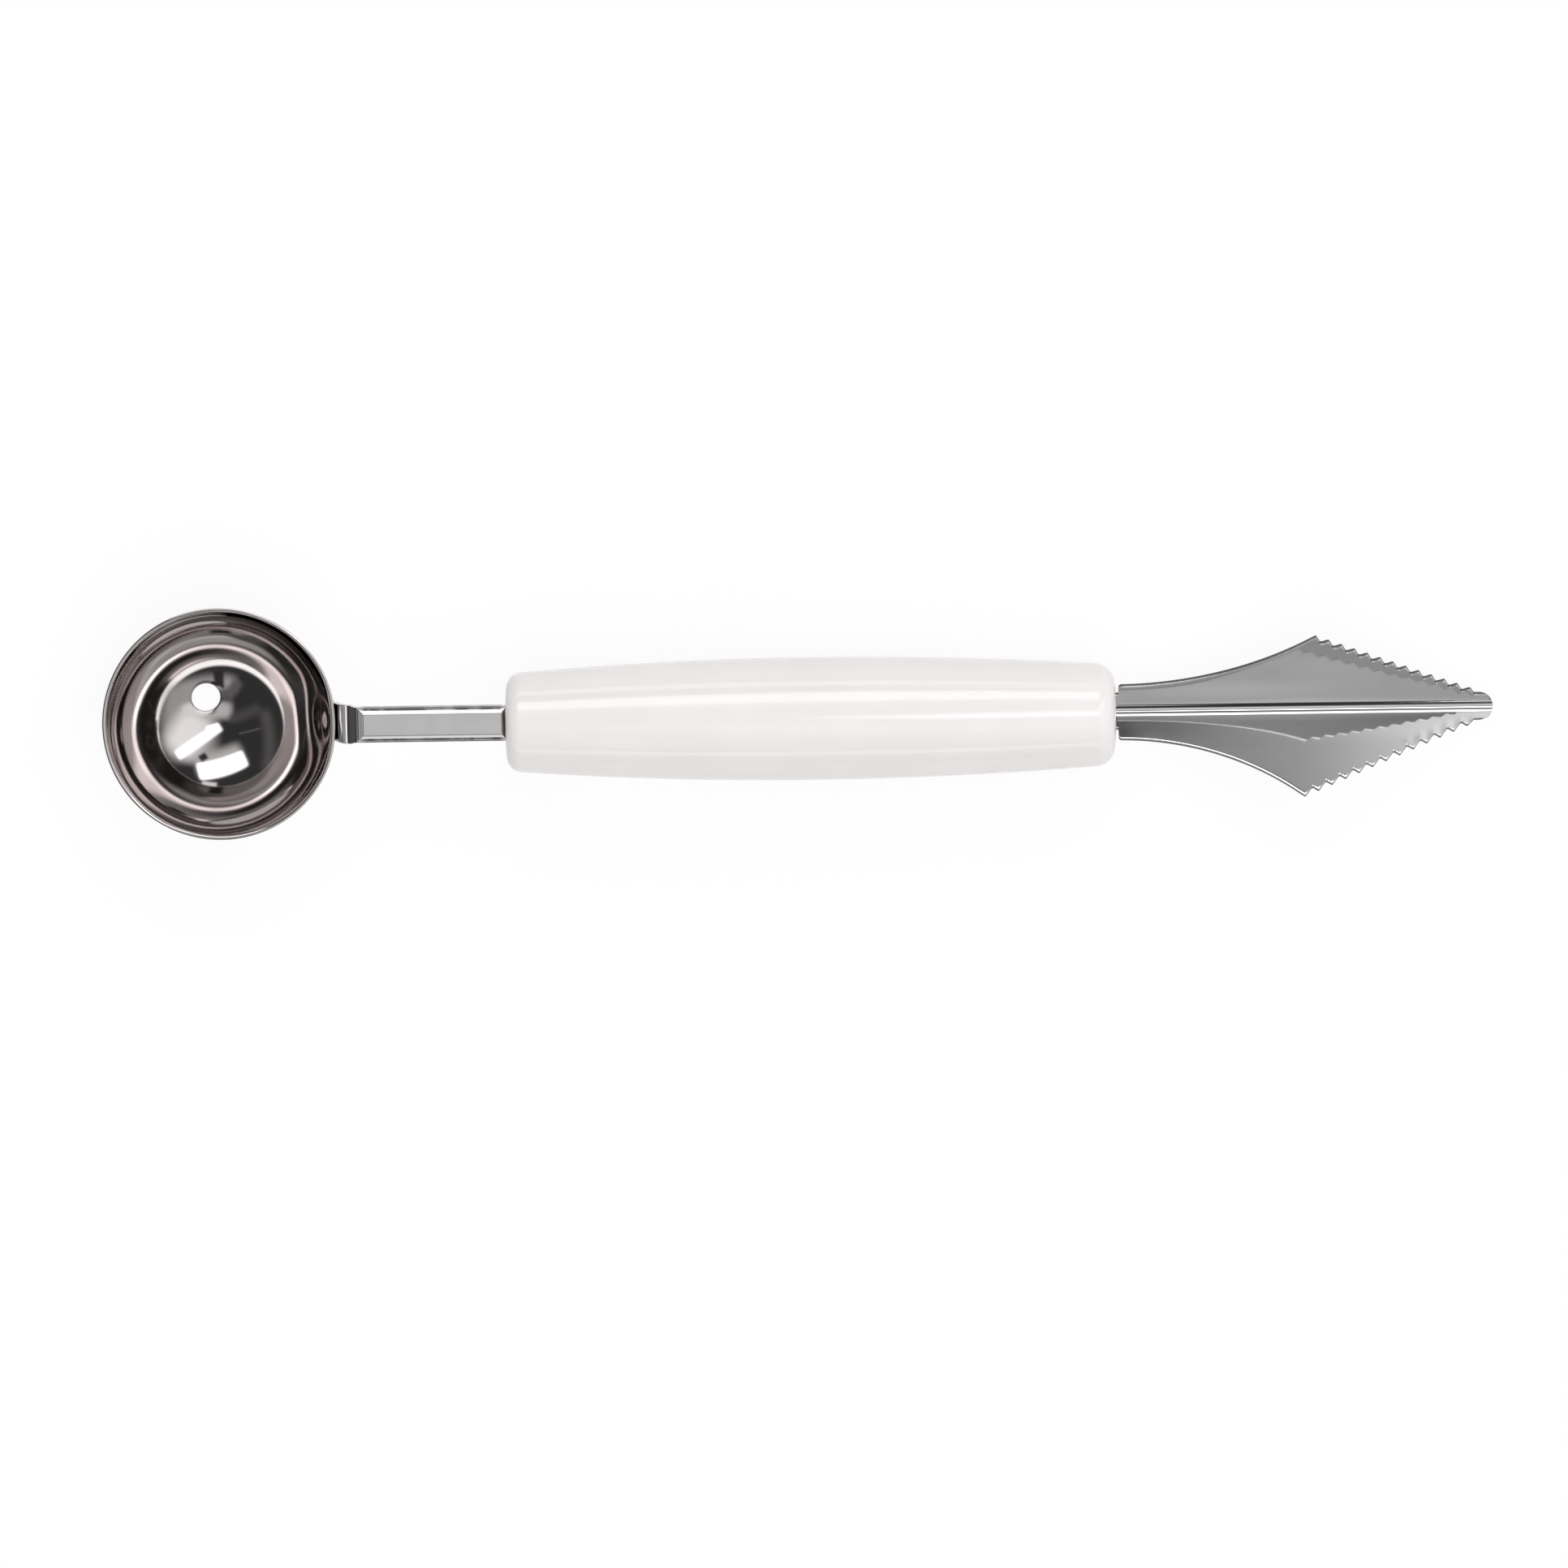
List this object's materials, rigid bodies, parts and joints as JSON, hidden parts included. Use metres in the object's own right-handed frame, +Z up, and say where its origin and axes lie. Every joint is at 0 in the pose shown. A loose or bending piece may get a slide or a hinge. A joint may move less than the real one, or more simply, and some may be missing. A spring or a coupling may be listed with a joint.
{
  "type": "melon baller",
  "caption": "Double-ended fruit tool: a round scoop with a drain hole, a barrel handle and a folded blade with saw-toothed edges.",
  "frame": {"origin": "under the middle of the tool's length and width, at the height of the bowl's lowest point", "axes": "+X along the tool from the bowl to the blade's nose, +Z up out of the bowl's mouth and the blade's trough, +Y across"},
  "size_m": [0.18, 0.0304, 0.0223],
  "materials": {
    "bowl_steel": "mirror polished stainless steel",
    "stem_steel": "bright pressed stainless steel",
    "weld_steel": "fused stainless steel",
    "handle_plastic": "glossy moulded plastic",
    "blade_steel": "bright rolled stainless steel",
    "adhesive": "cured adhesive"
  },
  "bodies": {
    "root": {"scoop_bowl": "bowl_steel", "scoop_stem": "stem_steel", "spot_welds": "weld_steel", "handle_grip": "handle_plastic", "v_blade": "blade_steel", "stem_adhesive": "adhesive", "blade_adhesive": "adhesive"}
  },
  "joints": []
}
